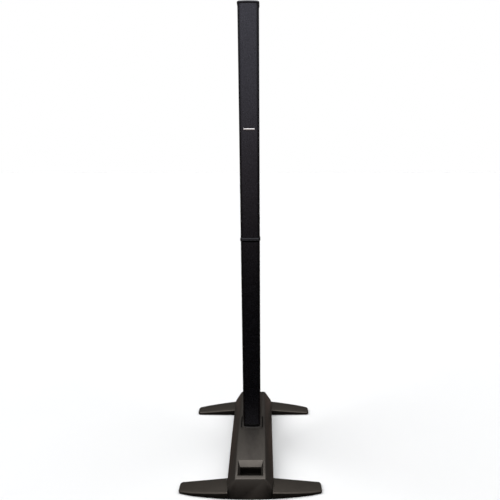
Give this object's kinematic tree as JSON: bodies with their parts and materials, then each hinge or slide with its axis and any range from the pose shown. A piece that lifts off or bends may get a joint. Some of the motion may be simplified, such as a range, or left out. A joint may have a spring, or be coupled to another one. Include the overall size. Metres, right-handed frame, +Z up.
{
  "type": "column pa system",
  "caption": "Slim two-section column loudspeaker standing in a low power base with swing-out legs, a carry handle and a rear connector panel.",
  "frame": {"origin": "on the floor under the middle of the base, at the centre of the bounding box's underside", "axes": "+Z up along the column; -Y towards the audience, the grille side; +X to the right seen from the front"},
  "size_m": [0.671, 0.681, 2.166],
  "materials": {
    "shell": "fine textured moulding, warm dark grey",
    "leg": "fine textured moulding, warm dark grey",
    "housing": "satin moulding, near black",
    "grille": "fine perforated sheet, painted near black",
    "rubber": "matt",
    "steel": "plain",
    "panel": "satin black",
    "gloss": "gloss black",
    "badge": "bright, blank",
    "board": "lacquered circuit board",
    "supply": "plain sheet",
    "cone": "paper cone and black frame"
  },
  "bodies": {
    "base": {"amplifier_board": "board", "base_bottom_plate": "panel", "base_shell": "shell", "column_socket": "shell", "combo_input_1": "gloss", "combo_input_2": "gloss", "connector_panel": "panel", "deck_plate": "shell", "line_output": "steel", "mains_inlet": "gloss", "pin_front_left": "steel", "pin_front_right": "steel", "pin_rear_left": "steel", "pin_rear_right": "steel", "power_supply": "supply", "speaker_output": "gloss"},
    "column_upper": {"badge": "badge", "upper_driver_01": "cone", "upper_driver_02": "cone", "upper_driver_03": "cone", "upper_driver_04": "cone", "upper_driver_05": "cone", "upper_driver_06": "cone", "upper_driver_07": "cone", "upper_driver_08": "cone", "upper_driver_09": "cone", "upper_driver_10": "cone", "upper_driver_11": "cone", "upper_driver_12": "cone", "upper_end_cap": "housing", "upper_foot_ring": "housing", "upper_grille": "grille", "upper_housing": "housing"},
    "leg_front_left": {"leg_front_left": "leg", "pad_front_left": "rubber"},
    "leg_front_right": {"leg_front_right": "leg", "pad_front_right": "rubber"},
    "leg_rear_left": {"leg_rear_left": "leg", "pad_rear_left": "rubber"},
    "leg_rear_right": {"leg_rear_right": "leg", "pad_rear_right": "rubber"},
    "column_lower": {"lower_driver_01": "cone", "lower_driver_02": "cone", "lower_driver_03": "cone", "lower_driver_04": "cone", "lower_driver_05": "cone", "lower_driver_06": "cone", "lower_driver_07": "cone", "lower_driver_08": "cone", "lower_driver_09": "cone", "lower_driver_10": "cone", "lower_driver_11": "cone", "lower_driver_12": "cone", "lower_foot_plug": "housing", "lower_grille": "grille", "lower_head": "housing", "lower_housing": "housing"},
    "rocker": {"power_rocker": "gloss"},
    "knob_1": {"trim_knob_1": "rubber"},
    "knob_2": {"trim_knob_2": "rubber"}
  },
  "joints": [
    {"name": "leg_front_left_fold", "type": "hinge", "parent": "base", "child": "leg_front_left", "pos_m": [-0.096, -0.29, 0.02], "axis": [0, 0, -1], "range_deg": [0, 90]},
    {"name": "leg_front_right_fold", "type": "hinge", "parent": "base", "child": "leg_front_right", "pos_m": [0.096, -0.29, 0.02], "axis": [0, 0, 1], "range_deg": [0, 90]},
    {"name": "leg_rear_left_fold", "type": "hinge", "parent": "base", "child": "leg_rear_left", "pos_m": [-0.096, 0.29, 0.02], "axis": [0, 0, 1], "range_deg": [0, 90]},
    {"name": "leg_rear_right_fold", "type": "hinge", "parent": "base", "child": "leg_rear_right", "pos_m": [0.096, 0.29, 0.02], "axis": [0, 0, -1], "range_deg": [0, 90]},
    {"name": "column_lower_lift", "type": "slide", "parent": "base", "child": "column_lower", "axis": [0, 0, 1], "range_m": [0, 0.08]},
    {"name": "column_upper_lift", "type": "slide", "parent": "column_lower", "child": "column_upper", "axis": [0, 0, 1], "range_m": [0, 0.06]},
    {"name": "power_rocker_tilt", "type": "hinge", "parent": "base", "child": "rocker", "pos_m": [0.036, 0.30783, 0.08318], "axis": [-1, 0, 0], "range_deg": [0, 16]},
    {"name": "trim_knob_1_turn", "type": "hinge", "parent": "base", "child": "knob_1", "pos_m": [-0.02, 0.3045, 0.09475], "axis": [0, 0.9345, 0.3558], "range_deg": [-135, 135]},
    {"name": "trim_knob_2_turn", "type": "hinge", "parent": "base", "child": "knob_2", "pos_m": [-0.02, 0.31161, 0.07606], "axis": [0, 0.9345, 0.3558], "range_deg": [-135, 135]}
  ]
}
